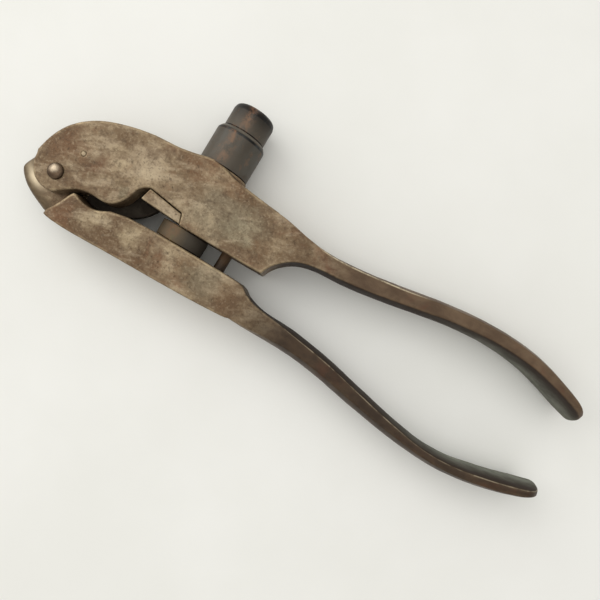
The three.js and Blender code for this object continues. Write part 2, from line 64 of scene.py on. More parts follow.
TONGUE_ROOT = [[-88.80, -20.49], [-77.41, -14.91], [-81.37, -11.82], [-84.25, -11.23], [-86.54, -9.87], [-88.28, -8.39]]
HEAD_PLATE = [[-65.35, 6.48], [-66.52, 1.86], [-50.44, 1.07], [-51.55, 4.40]]
ARM = [[-96.37, 6.67], [-92.44, 7.96], [-86.50, 8.75], [-80.09, 8.75], [-73.30, 8.13], [-66.98, 6.15], [-60.41, 5.18], [-61.07, 2.00], [-62.83, -0.76], [-65.03, -3.50], [-67.32, -5.39], [-70.65, -6.96], [-75.30, -8.47], [-80.08, -10.49], [-84.16, -10.80], [-87.56, -9.42], [-89.73, -6.88], [-92.72, -2.26], [-95.93, 3.08]]


# ------------------------------------------------------------------ geometry
def ease(pts, times=1):
    p = np.array(pts, float)
    for _ in range(times):
        q = p.copy()
        q[1:-1] = (p[:-2] + 2 * p[1:-1] + p[2:]) / 4
        p = q
    return p


def catmull(pts, per=14):
    """Centripetal Catmull-Rom through the points."""
    p = np.array(pts, float)
    p = np.vstack([2 * p[0] - p[1], p, 2 * p[-1] - p[-2]])
    out = []
    for i in range(1, len(p) - 2):
        a, b, c, d = p[i - 1], p[i], p[i + 1], p[i + 2]
        t0 = 0.0
        t1 = t0 + max(np.linalg.norm(b - a), 1e-6) ** 0.5
        t2 = t1 + max(np.linalg.norm(c - b), 1e-6) ** 0.5
        t3 = t2 + max(np.linalg.norm(d - c), 1e-6) ** 0.5
        for t in np.linspace(t1, t2, per, endpoint=False):
            A1 = (t1 - t) / (t1 - t0) * a + (t - t0) / (t1 - t0) * b
            A2 = (t2 - t) / (t2 - t1) * b + (t - t1) / (t2 - t1) * c
            A3 = (t3 - t) / (t3 - t2) * c + (t - t2) / (t3 - t2) * d
            B1 = (t2 - t) / (t2 - t0) * A1 + (t - t0) / (t2 - t0) * A2
            B2 = (t3 - t) / (t3 - t1) * A2 + (t - t1) / (t3 - t1) * A3
            out.append((t2 - t) / (t2 - t1) * B1 + (t - t1) / (t2 - t1) * B2)
    out.append(p[-2])
    return np.array(out)


def resample(pts, step=None, n=None, fractions=None):
    p = np.array(pts, float)
    d = np.r_[0, np.cumsum(np.linalg.norm(np.diff(p, axis=0), axis=1))]
    if fractions is None:
        if n is None:
            n = max(int(round(d[-1] / step)) + 1, 2)
        fractions = np.linspace(0, 1, n)
    s = np.array(fractions) * d[-1]
    return np.c_[np.interp(s, d, p[:, 0]), np.interp(s, d, p[:, 1])]


def run(pts, times=1, step=0.7):
    return resample(catmull(ease(pts, times)), step=step)


def area2(p):
    q = np.roll(p, -1, axis=0)
    return float((p[:, 0] * q[:, 1] - q[:, 0] * p[:, 1]).sum())


def ccw(p):
    p = np.array(p, float)
    keep = np.linalg.norm(p - np.roll(p, 1, axis=0), axis=1) > 0.02
    p = p[keep]
    return p if area2(p) > 0 else p[::-1]


def inset(p, d):
    a = p - np.roll(p, 1, axis=0)
    b = np.roll(p, -1, axis=0) - p
    a /= np.linalg.norm(a, axis=1)[:, None]
    b /= np.linalg.norm(b, axis=1)[:, None]
    n = np.c_[a[:, 1] + b[:, 1], -(a[:, 0] + b[:, 0])]
    k = np.maximum((n**2).sum(1) / 2, 0.6)
    return p - n / k[:, None] * d


def make(name, verts, faces):
    m = bpy.data.meshes.new(name)
    v = np.array(verts, float)
    v = np.c_[v[:, 0] + SHIFT[0], v[:, 1] + SHIFT[1], v[:, 2]] / 1000.0
    m.from_pydata(v.tolist(), [], faces)
    m.update()
    m.validate()
    o = bpy.data.objects.new(name, m)
    bpy.context.scene.collection.objects.link(o)
    return o


def rings_mesh(name, rings, caps=True):
    n = len(rings[0])
    verts = np.vstack(rings)
    faces = []
    for i in range(len(rings) - 1):
        for k in range(n):
            a, b = i * n + k, i * n + (k + 1) % n
            faces.append((a, b, b + n, a + n))
    if caps:
        faces.append(tuple(range(n))[::-1])
        e = (len(rings) - 1) * n
        faces.append(tuple(e + k for k in range(n)))
    o = make(name, verts, faces)
    bm = bmesh.new()
    bm.from_mesh(o.data)
    bmesh.ops.recalc_face_normals(bm, faces=bm.faces)
    bm.to_mesh(o.data)
    bm.free()
    return o


def plate(name, outline, z0, z1, bevel=0.0, levels=None):
    p = ccw(outline)
    if levels is None:
        if bevel > 0:
            levels = []
            for i in range(4):
                a = i / 3 * math.pi / 2
                levels.append((z0 + bevel * (1 - math.sin(a)), bevel * (1 - math.cos(a))))
            levels = levels[::1]
            levels = sorted(levels)
            lo = [(z0 + bevel * (1 - math.cos(a)), bevel * (1 - math.sin(a))) for a in np.linspace(0, math.pi / 2, 4)]
            hi = [(z1 - bevel * (1 - math.cos(a)), bevel * (1 - math.sin(a))) for a in np.linspace(math.pi / 2, 0, 4)]
            levels = lo + hi
        else:
            levels = [(z0, 0), (z1, 0)]
    rings = []
    for z, d in levels:
        q = inset(p, d) if d else p
        rings.append(np.c_[q, np.full(len(q), z)])
    return rings_mesh(name, rings)


def rodz(name, c, r, z0, z1, n=96):
    a = np.linspace(0, 2 * math.pi, n, endpoint=False)
    xy = np.c_[c[0] + r * np.cos(a), c[1] + r * np.sin(a)]
    return rings_mesh(name, [np.c_[xy, np.full(n, z0)], np.c_[xy, np.full(n, z1)]])


def rody(name, x, r, y0, y1, n=112):
    a = np.linspace(0, 2 * math.pi, n, endpoint=False)
    rings = [np.c_[x + r * np.cos(a), np.full(n, y), ZC + r * np.sin(a)] for y in (y0, y1)]
    return rings_mesh(name, rings)


def turned(name, x, profile, n=128, axis="y", center=None):
    """Closed turned piece from a [radius, along] profile."""
    pr = [tuple(q) for q in profile]
    verts, faces, idx = [], [], []
    for r, y in pr:
        if r < 1e-6:
            idx.append([len(verts)])
            verts.append((0, y, 0))
        else:
            idx.append(list(range(len(verts), len(verts) + n)))
            for k in range(n):
                a = 2 * math.pi * k / n
                verts.append((r * math.cos(a), y, r * math.sin(a)))
    m = len(pr)
    closed = not (len(idx[0]) == 1 and len(idx[-1]) == 1)
    for i in range(m if closed else m - 1):
        A, B = idx[i], idx[(i + 1) % m]
        if len(A) == 1 and len(B) == 1:
            continue
        for k in range(n):
            j = (k + 1) % n
            if len(A) == 1:
                faces.append((A[0], B[j], B[k]))
            elif len(B) == 1:
                faces.append((A[k], A[j], B[0]))
            else:
                faces.append((A[k], A[j], B[j], B[k]))
    v = np.array(verts)
    if axis == "y":
        v = v + np.array([x, 0, ZC])
    else:
        v = np.c_[v[:, 0] + center[0], v[:, 2] + center[1], v[:, 1]]
    o = make(name, v, faces)
    bm = bmesh.new()
    bm.from_mesh(o.data)
    bmesh.ops.recalc_face_normals(bm, faces=bm.faces)
    bm.to_mesh(o.data)
    bm.free()
    return o


def fillet_profile(pts, r, n=5):
    """Rounds every inner corner of an open or closed profile by radius r."""
    out = []
    m = len(pts)
    for i, p in enumerate(pts):
        p = np.array(p, float)
        if i in (0, m - 1):
            out.append(tuple(p))
            continue
        a, b = np.array(pts[i - 1], float), np.array(pts[i + 1], float)
        u, v = a - p, b - p
        lu, lv = np.linalg.norm(u), np.linalg.norm(v)
        rr = min(r[i] if isinstance(r, (list, tuple)) else r, lu * 0.45, lv * 0.45)
        if rr <= 1e-6:
            out.append(tuple(p))
            continue
        s, e = p + u / lu * rr, p + v / lv * rr
        for t in np.linspace(0, 1, n):
            out.append(tuple((1 - t) ** 2 * s + 2 * t * (1 - t) * p + t**2 * e))
    return out


def lookup(table, x):
    if x <= table[0][0]:
        return table[0][1]
    for (x0, y0), (x1, y1) in zip(table[:-1], table[1:]):
        if x <= x1:
            u = (x - x0) / (x1 - x0)
            s = u * u * (3 - 2 * u)
            return y0 * (1 - s) + y1 * s
    return table[-1][1]


# edge lines of the handles, along which painted highlight lines are laid
EDGES = {}


def handle(name, inner, outer, widths, stations=220):
    u = np.linspace(0, 1, stations)
    f = np.where(u < 0.7, u / 0.7 * 0.9, 0.9 + 0.1 * (1 - ((1 - u) / 0.3) ** 1.7))
    a = resample(catmull(ease(inner, 2)), fractions=f)
    b = resample(catmull(ease(outer, 2)), fractions=f)
    tip = (a[-1, 0] + b[-1, 0]) / 2
    rings, inner_edge, outer_edge = [], [], []
    for p, q in zip(a, b):
        T = float(np.linalg.norm(q - p))
        d = (q - p) / T
        xm = (p[0] + q[0]) / 2
        w = lookup(widths, xm)
        e = max(tip - xm, 0)
        L = 8.5
        if e < L:
            w *= math.sqrt(max(1 - (1 - (e + 0.12) / (L + 0.12)) ** 2.3, 0.03))
        c = min(2.1, 0.42 * T) * (0.15 + 0.85 * min(max((xm + 20) / 24, 0), 1))
        r = min(0.45, 0.15 * T, 0.3 * w)
        k0 = min(max((xm + 12) / 18, 0), 1)
        ci = 1.6 * k0 * k0 * (3 - 2 * k0) * min(1, w / 6)
        sec = [(-ci * (1 - (z / w) ** 2), z) for z in np.linspace(-(w - r), w - r, 17)]
        sec += [(r * (1 - math.sin(t)), w - r + r * math.cos(t)) for t in np.linspace(math.pi / 2, 0, 5)[1:]]
        sec.append(((T - c) * 0.5, w))
        fs = np.linspace(1, -1, 27)
        sec += [(T - c * k * k * (0.75 + 0.25 * k * k), k * w) for k in fs]
        sec.append(((T - c) * 0.5, -w))
        sec += [(r * (1 - math.sin(t)), -(w - r) - r * math.cos(t)) for t in np.linspace(0, math.pi / 2, 5)[:-1]]
        sec = np.array(sec)
        inner_edge.append((p[0], p[1], ZC + w))
        outer_edge.append((*(p + d * (T - c * 0.85)), ZC + w * 0.97))
        rings.append(np.c_[p[0] + d[0] * sec[:, 0], p[1] + d[1] * sec[:, 0], ZC + sec[:, 1]])
    EDGES[name] = (np.array(inner_edge), np.array(outer_edge))
    return rings_mesh(name, rings)


def arc(c, r, a0, a1, n):
    t = np.radians(np.linspace(a0, a1, n))
    return np.c_[c[0] + r * np.cos(t), c[1] + r * np.sin(t)]


def boolean(obj, cutters, operation):
    for c in cutters:
        m = obj.modifiers.new("b", "BOOLEAN")
        m.operation = operation
        m.solver = "EXACT"
        m.object = c
        dg = bpy.context.evaluated_depsgraph_get()
        new = bpy.data.meshes.new_from_object(obj.evaluated_get(dg))
        obj.modifiers.clear()
        old = obj.data
        obj.data = new
        bpy.data.meshes.remove(old)
        me = c.data
        bpy.data.objects.remove(c)
        bpy.data.meshes.remove(me)
    return obj


def join(obj, others):
    """Puts the meshes together; the fine remesh that follows fuses them."""
    bm = bmesh.new()
    for o in [obj] + list(others):
        bm.from_mesh(o.data)
    for o in others:
        me = o.data
        bpy.data.objects.remove(o)
        bpy.data.meshes.remove(me)
    bm.to_mesh(obj.data)
    bm.free()
    return obj


def voxel(obj, size):
    m = obj.modifiers.new("r", "REMESH")
    m.mode = "VOXEL"
    m.voxel_size = size / 1000.0
    m.adaptivity = 0.0
    dg = bpy.context.evaluated_depsgraph_get()
    new = bpy.data.meshes.new_from_object(obj.evaluated_get(dg))
    obj.modifiers.clear()
    old = obj.data
    obj.data = new
    bpy.data.meshes.remove(old)
    return obj


def arrays(me):
    v = np.empty(len(me.vertices) * 3)
    me.vertices.foreach_get("co", v)
    e = np.empty(len(me.edges) * 2, int)
    me.edges.foreach_get("vertices", e)
    return v.reshape(-1, 3), e.reshape(-1, 2)


def average(values, e, n):
    s = np.zeros((n, values.shape[1]))
    c = np.zeros(n)
    for k in range(values.shape[1]):
        s[:, k] = np.bincount(e[:, 0], values[e[:, 1], k], n) + np.bincount(e[:, 1], values[e[:, 0], k], n)
    c = np.bincount(e[:, 0], minlength=n) + np.bincount(e[:, 1], minlength=n)
    return s / np.maximum(c, 1)[:, None]


def relax(obj, times, factor=0.5, hold=None):
    me = obj.data
    v, e = arrays(me)
    n = len(v)
    for _ in range(times):
        d = (average(v, e, n) - v) * factor
        if hold is not None:
            d *= hold[:, None]
        v = v + d
    me.vertices.foreach_set("co", v.ravel())
    me.update()


def normals(me):
    n = np.empty(len(me.vertices) * 3)
    me.vertices.foreach_get("normal", n)
    return n.reshape(-1, 3)


def put(me, name, values):
    a = me.attributes.get(name) or me.attributes.new(name, "FLOAT", "POINT")
    a.data.foreach_set("value", np.ascontiguousarray(values, dtype=np.float32))


def wear_map(obj, spread=4):
    """Convex edges towards 1, hollows towards -1."""
    me = obj.data
    v, e = arrays(me)
    n = len(v)
    nn = normals(me)
    c = ((v - average(v, e, n)) * nn).sum(1)
    L = np.linalg.norm(v[e[:, 0]] - v[e[:, 1]], axis=1).mean()
    c = c / L
    for _ in range(spread):
        c = 0.5 * c + 0.5 * average(c[:, None], e, n)[:, 0]
    put(me, "wear", np.clip(c * 12, -1, 1))


def shade(obj, angle=None):
    me = obj.data
    me.polygons.foreach_set("use_smooth", np.ones(len(me.polygons), bool))
    if angle is not None:
        me.set_sharp_from_angle(angle=math.radians(angle))
    me.update()


# ------------------------------------------------------------------ materials
TURN = math.radians(31)


def lin(c):
    return tuple(((x / 255) / 12.92 if x / 255 <= 0.04045 else ((x / 255 + 0.055) / 1.055) ** 2.4) for x in c) + (1.0,)


class Tree:
    def __init__(self, name):
        self.mat = bpy.data.materials.new(name)
        self.mat.use_nodes = True
        self.nt = self.mat.node_tree
        self.nt.nodes.clear()
        self.out = self.nt.nodes.new("ShaderNodeOutputMaterial")

    def node(self, kind, **props):
        n = self.nt.nodes.new(kind)
        for k, v in props.items():
            setattr(n, k, v)
        return n

    def link(self, a, b):
        self.nt.links.new(a, b)

    def feed(self, socket, value):
        if hasattr(value, "is_output"):
            self.link(value, socket)
        else:
            socket.default_value = value

    def coords(self, offset=(0, 0, 0), scale=(1, 1, 1), rot=(0, 0, 0)):
        tc = self.node("ShaderNodeTexCoord")
        m = self.node("ShaderNodeMapping")
        m.inputs["Location"].default_value = offset
        m.inputs["Scale"].default_value = scale
        m.inputs["Rotation"].default_value = rot
        self.link(tc.outputs["Object"], m.inputs["Vector"])
        return m.outputs["Vector"]

    def streaks(self, seed, degrees, stretch):
        """Coordinates drawn out along one direction on the upper side."""
        tc = self.node("ShaderNodeTexCoord")
        m = self.node("ShaderNodeMapping", vector_type="TEXTURE")
        m.inputs["Location"].default_value = (seed, seed * 0.3, 0)
        m.inputs["Scale"].default_value = (stretch, 1, 1)
        m.inputs["Rotation"].default_value = (0, 0, math.radians(degrees))
        self.link(tc.outputs["Object"], m.inputs["Vector"])
        return m.outputs["Vector"]

    def noise(self, vec, scale, detail=5.0, rough=0.6, distortion=0.0):
        n = self.node("ShaderNodeTexNoise")
        self.link(vec, n.inputs["Vector"])
        n.inputs["Scale"].default_value = scale
        n.inputs["Detail"].default_value = detail
        n.inputs["Roughness"].default_value = rough
        n.inputs["Distortion"].default_value = distortion
        return n.outputs["Fac"]

    def ramp(self, fac, lo, hi, a=0.0, b=1.0, smooth=True):
        n = self.node("ShaderNodeMapRange")
        n.interpolation_type = "SMOOTHSTEP" if smooth else "LINEAR"
        n.clamp = True if not smooth else n.clamp
        self.feed(n.inputs["Value"], fac)
        n.inputs["From Min"].default_value = lo
        n.inputs["From Max"].default_value = hi
        n.inputs["To Min"].default_value = a
        n.inputs["To Max"].default_value = b
        return n.outputs["Result"]

    def math(self, op, a, b=0.0, clamp=False):
        n = self.node("ShaderNodeMath", operation=op, use_clamp=clamp)
        self.feed(n.inputs[0], a)
        self.feed(n.inputs[1], b)
        return n.outputs[0]

    def mix(self, fac, a, b, blend="MIX"):
        n = self.node("ShaderNodeMix", data_type="RGBA", blend_type=blend)
        self.feed(n.inputs[0], fac)
        self.feed(n.inputs[6], a)
        self.feed(n.inputs[7], b)
        return n.outputs[2]

    def attr(self, name):
        n = self.node("ShaderNodeAttribute", attribute_name=name)
        return n.outputs["Fac"]

    def bump(self, height, strength, distance, normal=None):
        n = self.node("ShaderNodeBump")
        n.inputs["Strength"].default_value = strength
        n.inputs["Distance"].default_value = distance
        self.link(height, n.inputs["Height"])
        if normal is not None:
            self.link(normal, n.inputs["Normal"])
        return n.outputs["Normal"]

    def warp(self, amount, scale=60.0, seed=0.0):
        """Flat coordinates pushed about a little, for stains with uneven borders."""
        v = self.coords(offset=(seed, seed, 0))
        n = self.node("ShaderNodeTexNoise")
        self.link(v, n.inputs["Vector"])
        n.inputs["Scale"].default_value = scale
        n.inputs["Detail"].default_value = 5.0
        n.inputs["Roughness"].default_value = 0.65
        a = self.node("ShaderNodeVectorMath", operation="SUBTRACT")
        self.link(n.outputs["Color"], a.inputs[0])
        a.inputs[1].default_value = (0.5, 0.5, 0.5)
        b = self.node("ShaderNodeVectorMath", operation="SCALE")
        self.link(a.outputs[0], b.inputs[0])
        b.inputs["Scale"].default_value = amount
        c = self.node("ShaderNodeVectorMath", operation="ADD")
        self.link(b.outputs[0], c.inputs[0])
        self.link(self.coords(), c.inputs[1])
        d = self.node("ShaderNodeVectorMath", operation="MULTIPLY")
        self.link(c.outputs[0], d.inputs[0])
        d.inputs[1].default_value = (1.0, 1.0, 0.0)
        return d.outputs[0]

    def spot(self, vec, centre, radius, soft=0.3):
        n = self.node("ShaderNodeVectorMath", operation="DISTANCE")
        self.link(vec, n.inputs[0])
        n.inputs[1].default_value = (centre[0], centre[1], 0.0)
        return self.ramp(n.outputs["Value"], radius * soft, radius, 1.0, 0.0)

    def surface(self, color, rough, metal, normal=None, spec=0.5):
        p = self.node("ShaderNodeBsdfPrincipled")
        self.feed(p.inputs["Base Color"], color)
        self.feed(p.inputs["Roughness"], rough)
        self.feed(p.inputs["Metallic"], metal)
        p.inputs["Specular IOR Level"].default_value = spec
        if normal is not None:
            self.link(normal, p.inputs["Normal"])
        self.link(p.outputs["BSDF"], self.out.inputs["Surface"])
        return self.mat


def on_face(x, y):
    """Tool coordinates (m) of a place on the upper side, given in the outlines' millimetres."""
    return ((x + SHIFT[0]) / 1000, (y + SHIFT[1]) / 1000)


def forging(name, seed, tint_handle, inner_shade_tints, stains=(), knuckle=False):
    """Old steel forging: mottled brown and grey patina, pits, rubbed edges; painted shade in deep places and on inner
    faces, painted highlight lines along edges and a painted gleam on the knuckle.
    """
    t = Tree(name)
    v = t.coords(offset=(seed, seed * 0.7, 0))
    big = t.noise(v, 38, 5, 0.62, 0.6)
    mid = t.noise(t.coords(offset=(seed, seed * 0.7, 0), scale=(0.6, 1, 1)), 170, 7, 0.68, 0.25)
    small = t.noise(v, 560, 6, 0.72)
    fine = t.noise(v, 1350, 6, 0.75)
    rust = t.noise(t.coords(offset=(seed + 3, 1.3, 0)), 75, 6, 0.7, 0.5)
    grime = t.noise(t.coords(offset=(seed + 5, 2.1, 0.4)), 300, 7, 0.74, 0.3)
    c = t.mix(t.ramp(big, 0.36, 0.62), lin((97, 76, 54)), lin((120, 101, 77)))
    w2 = t.warp(0.022, 90.0, seed)
    under = [k for k in stains if sum(k[2]) > 300]
    over = [k for k in stains if sum(k[2]) <= 300]
    for place, radius, colour, amount in under:
        m = t.spot(w2, on_face(*place), radius / 1000)
        m = t.math("MULTIPLY", m, t.ramp(mid, 0.3, 0.62, amount * 0.45, amount))
        c = t.mix(m, c, lin(colour))
    pale = t.math("MULTIPLY", t.ramp(mid, 0.46, 0.66), t.ramp(big, 0.34, 0.6, 0.3, 1.0))
    c = t.mix(t.math("MULTIPLY", pale, 0.55), c, lin((166, 149, 121)))
    c = t.mix(t.ramp(rust, 0.50, 0.70, 0.0, 0.55), c, lin((114, 78, 54)))
    c = t.mix(t.ramp(grime, 0.5, 0.68, 0.0, 0.6), c, lin((76, 60, 45)))
    s1 = t.noise(t.streaks(seed + 1.7, 24, 3.0), 210, 6, 0.62, 0.2)
    s2 = t.noise(t.streaks(seed + 2.9, 28, 2.4), 150, 6, 0.66, 0.2)
    c = t.mix(t.ramp(s1, 0.52, 0.66, 0.0, 0.42), c, lin((178, 162, 136)))
    c = t.mix(t.ramp(s2, 0.48, 0.34, 0.0, 0.45), c, lin((96, 75, 56)))
    for place, radius, colour, amount in over:
        m = t.spot(w2, on_face(*place), radius / 1000)
        m = t.math("MULTIPLY", m, t.ramp(mid, 0.62, 0.36, amount * 0.5, amount))
        c = t.mix(m, c, lin(colour))
    # close grain of old pitting, light and dark
    g1 = t.noise(t.coords(offset=(seed + 11, 0.5, 0)), 620, 4, 0.62)
    g2 = t.noise(t.coords(offset=(seed + 12, 0.9, 0)), 1250, 3, 0.6)
    c = t.mix(t.ramp(g1, 0.46, 0.30, 0.0, 0.5), c, lin((76, 60, 45)))
    c = t.mix(t.ramp(g1, 0.54, 0.74, 0.0, 0.34), c, lin((176, 160, 132)))
    c = t.mix(t.ramp(g2, 0.46, 0.30, 0.0, 0.42), c, lin((68, 54, 40)))
    c = t.mix(t.ramp(g2, 0.55, 0.74, 0.0, 0.26), c, lin((184, 170, 144)))
    # handles: darker, smoother brown
    hcol = t.mix(t.ramp(mid, 0.36, 0.66), lin(tint_handle[0]), lin(tint_handle[1]))
    hcol = t.mix(t.ramp(rust, 0.5, 0.7, 0.0, 0.55), hcol, lin(tint_handle[2]))
    c = t.mix(t.attr("handle"), c, hcol)
    # inner faces: painted shade, darkest near the upper edge and under the arch, lighter lower down on the spoons as
    # painted bounce light from the floor
    inner_shade_col = t.mix(t.attr("spoon_shade_gradient"), lin(inner_shade_tints[0]), t.mix(t.ramp(mid, 0.35, 0.65), lin(inner_shade_tints[1]), lin(inner_shade_tints[2])))
    c = t.mix(t.attr("inner"), c, inner_shade_col)
    # specks
    calm = t.math("SUBTRACT", 1.0, t.math("MULTIPLY", t.attr("handle"), 0.85))
    pits = t.math("MULTIPLY", t.ramp(small, 0.57, 0.68), calm)
    c = t.mix(t.math("MULTIPLY", pits, 0.5), c, lin((56, 43, 32)))
    flecks = t.math("MULTIPLY", t.math("MULTIPLY", t.ramp(fine, 0.56, 0.68), t.ramp(mid, 0.40, 0.6)), calm)
    c = t.mix(t.math("MULTIPLY", flecks, 0.12), c, lin((190, 178, 152)))
    # rubbed edges, and hollows darker
    w = t.attr("wear")
    broken = t.ramp(t.noise(t.coords(offset=(seed + 8, 0, 0)), 210, 6, 0.75), 0.42, 0.60, 0.12, 1.0)
    rub = t.math("MULTIPLY", t.ramp(w, 0.2, 0.85), broken, clamp=True)
    rub = t.math("MULTIPLY", rub, t.math("SUBTRACT", 1.0, t.math("MULTIPLY", t.attr("handle"), 0.88)))
    c = t.mix(t.math("MULTIPLY", rub, 0.45), c, lin((182, 164, 132)))
    # painted highlight: a bright line along the handle edges
    edge_highlight = t.math("MULTIPLY", t.ramp(t.attr("line"), 0.15, 0.8), t.ramp(t.noise(t.coords(offset=(seed + 9, 0, 0)), 260, 5, 0.7), 0.36, 0.56, 0.15, 1.0))
    c = t.mix(t.math("MULTIPLY", edge_highlight, 0.95), c, lin((206, 192, 164)))
    c = t.mix(t.ramp(w, -0.08, -0.6, 0.0, 0.85), c, lin((40, 31, 23)))
    if knuckle:
        c = t.mix(t.math("MULTIPLY", t.attr("knuckle"), 0.85), c, t.mix(t.ramp(mid, 0.36, 0.64), lin((74, 61, 43)), lin((98, 82, 60))))
        # painted highlight on the knuckle
        c = t.mix(t.math("MULTIPLY", t.attr("painted_gleam"), t.ramp(mid, 0.3, 0.55, 0.6, 0.85)), c, lin((226, 210, 180)))
    # painted shade: deep places are coloured near black, with less metal and more roughness
    c = t.mix(t.attr("deep_shade"), c, lin((14, 11, 8)))
    rough = t.math("ADD", t.ramp(mid, 0.35, 0.68, 0.58, 0.42, smooth=False), t.math("MULTIPLY", pits, 0.18))
    rough = t.math("SUBTRACT", rough, t.math("MULTIPLY", rub, 0.1))
    rough = t.math("ADD", rough, t.math("MULTIPLY", t.attr("inner"), 0.22))
    n = t.bump(small, 0.26, 0.00011)
    n = t.bump(mid, 0.22, 0.0003, n)
    n = t.bump(fine, 0.12, 0.00004, n)
    metal = t.math("MULTIPLY", t.math("ADD", 0.4, t.math("MULTIPLY", rub, 0.25)), t.math("SUBTRACT", 1.0, t.attr("inner")))
    metal = t.math("MULTIPLY", metal, t.math("SUBTRACT", 1.0, t.math("MULTIPLY", t.attr("handle"), 0.5)))
    metal = t.math("MULTIPLY", metal, t.math("SUBTRACT", 1.0, t.attr("deep_shade")))
    rough = t.math("ADD", rough, t.math("MULTIPLY", t.attr("deep_shade"), 0.4), clamp=True)
    return t.surface(c, rough, metal, n, spec=0.35)


def dark_steel(name, seed, streak=True, base=((19, 16, 14), (36, 31, 27)), rust_c=(136, 98, 72), rust_amt=0.75, rough0=0.34, cool=(60, 65, 66), edge=0.45, hollow=0.35):
    """Blackened turned steel with rust bloom and rubbed streaks along its length."""
    t = Tree(name)
    v = t.coords(offset=(seed, 0.3, 0.1))
    vs = t.coords(offset=(seed, 0, 0), scale=(1.0, 0.7, 1.0))
    big = t.noise(v, 70, 5, 0.6, 0.4)
    rust = t.noise(vs, 300, 8, 0.78, 0.2)
    blue = t.noise(t.coords(offset=(seed + 2, 0, 1.0), scale=(1.0, 0.5, 1.0)), 120, 6, 0.65, 0.3)
    turn = t.noise(t.coords(scale=(0.15, 1.0, 0.15)), 2400, 2, 0.5)
    small = t.noise(v, 800, 5, 0.7)
    c = t.mix(t.ramp(big, 0.35, 0.65), lin(base[0]), lin(base[1]))
    c = t.mix(t.ramp(blue, 0.50, 0.60, 0.0, 0.7), c, lin(cool))
    bloom = t.math("MULTIPLY", t.ramp(rust, 0.40, 0.60), t.attr("bloom"))
    c = t.mix(t.math("MAXIMUM", t.ramp(rust, 0.54, 0.64, 0.0, rust_amt * 0.6), t.math("MULTIPLY", bloom, rust_amt), clamp=True), c, lin(rust_c))
    c = t.mix(t.ramp(small, 0.58, 0.72, 0.0, 0.6), c, lin((18, 15, 12)))
    # painted shade from the shade attribute
    c = t.mix(t.attr("shade"), c, lin((8, 6, 5)))
    w = t.attr("wear")
    rub = t.ramp(w, 0.55, 1.0)
    c = t.mix(t.math("MULTIPLY", rub, edge), c, lin((112, 104, 92)))
    c = t.mix(t.ramp(w, -0.08, -0.6, 0.0, hollow), c, lin((22, 18, 15)))
    rough = t.math("ADD", t.ramp(rust, 0.45, 0.65, rough0, rough0 + 0.26, smooth=False), t.math("MULTIPLY", small, 0.08))
    n = t.bump(small, 0.22, 0.00008)
    n = t.bump(turn, 0.1, 0.00003, n)
    return t.surface(c, rough, 0.1, n, spec=0.22)


def plain_steel(name, seed, a, b, rough=0.42, metal=0.65, speck=0.4, wear=0.5, painted_highlight_at=None):
    t = Tree(name)
    v = t.coords(offset=(seed, 0.9, 0.2))
    mid = t.noise(v, 240, 6, 0.66, 0.3)
    small = t.noise(v, 1100, 4, 0.7)
    c = t.mix(t.ramp(mid, 0.36, 0.64), lin(a), lin(b))
    c = t.mix(t.ramp(small, 0.58, 0.72, 0.0, speck), c, lin((50, 40, 31)))
    w = t.attr("wear")
    rub = t.ramp(w, 0.1, 0.7)
    c = t.mix(t.math("MULTIPLY", rub, wear), c, lin((205, 194, 172)))
    c = t.mix(t.ramp(w, -0.08, -0.6, 0.0, 0.7), c, lin((40, 32, 25)))
    # painted highlight: a pale spot on the head, set a little off centre
    if painted_highlight_at:
        c = t.mix(t.math("MULTIPLY", t.spot(t.warp(0.0012, 500.0, seed), on_face(*painted_highlight_at), 0.0022, 0.1), t.ramp(mid, 0.35, 0.6, 0.45, 0.9)), c, lin((206, 190, 166)))
    n = t.bump(small, 0.2, 0.00006)
    return t.surface(c, t.ramp(mid, 0.3, 0.7, rough + 0.08, rough - 0.05, smooth=False), metal, n)


# ------------------------------------------------------------------ pieces
VOX = 0.34


def finish_piece(obj, node, body, mat, angle=None):
    obj.name = "look_" + node
    obj.data.materials.clear()
    obj.data.materials.append(mat)
    shade(obj, angle)
    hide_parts(node)
    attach(obj, body)


def undulate(obj, amp_head, amp_handle, seed):
    """Slight unevenness of a forged and hand-finished surface."""
    me = obj.data
    v, _ = arrays(me)
    nn = normals(me)
    out = np.empty(len(v))
    off = Vector((seed, seed * 2, 0))
    x = v[:, 0] * 1000 - SHIFT[0]
    amp = amp_head + (amp_handle - amp_head) * np.clip((x + 20) / 25, 0, 1)
    for i, p in enumerate(v):
        q = Vector(p)
        out[i] = noise.noise(q * 110 + off) + 0.5 * noise.noise(q * 320 + off)
    v = v + nn * (out * amp / 1000)[:, None]
    v[:, 2] = np.clip(v[:, 2], 0.00005, None)
    me.vertices.foreach_set("co", v.ravel())
    me.update()


def zones(obj, sign, start=-16):
    me = obj.data
    v, _ = arrays(me)
    nn = normals(me)
    x = v[:, 0] * 1000 - SHIFT[0]
    h = np.clip((x - start) / 34, 0, 1)
    put(me, "handle", h * h * (3 - 2 * h))
    # faces looking towards the other handle, which get the painted shade colour
    inner = np.clip((nn[:, 1] * sign - 0.45) / 0.4, 0, 1) * np.clip((x + 24) / 10, 0, 1)
    put(me, "inner", inner)
    z = v[:, 2] * 1000
    # 0 near the upper edge and under the arch, 1 low down on the spoon: runs the painted shade to painted bounce light
    # gradient
    put(me, "spoon_shade_gradient", np.clip((x - 40) / 34, 0, 1) * np.clip((19.0 - z) / 7, 0, 1))
    put(me, "line", np.zeros(len(v)))
    put(me, "deep_shade", np.zeros(len(v)))
    put(me, "knuckle", np.zeros(len(v)))


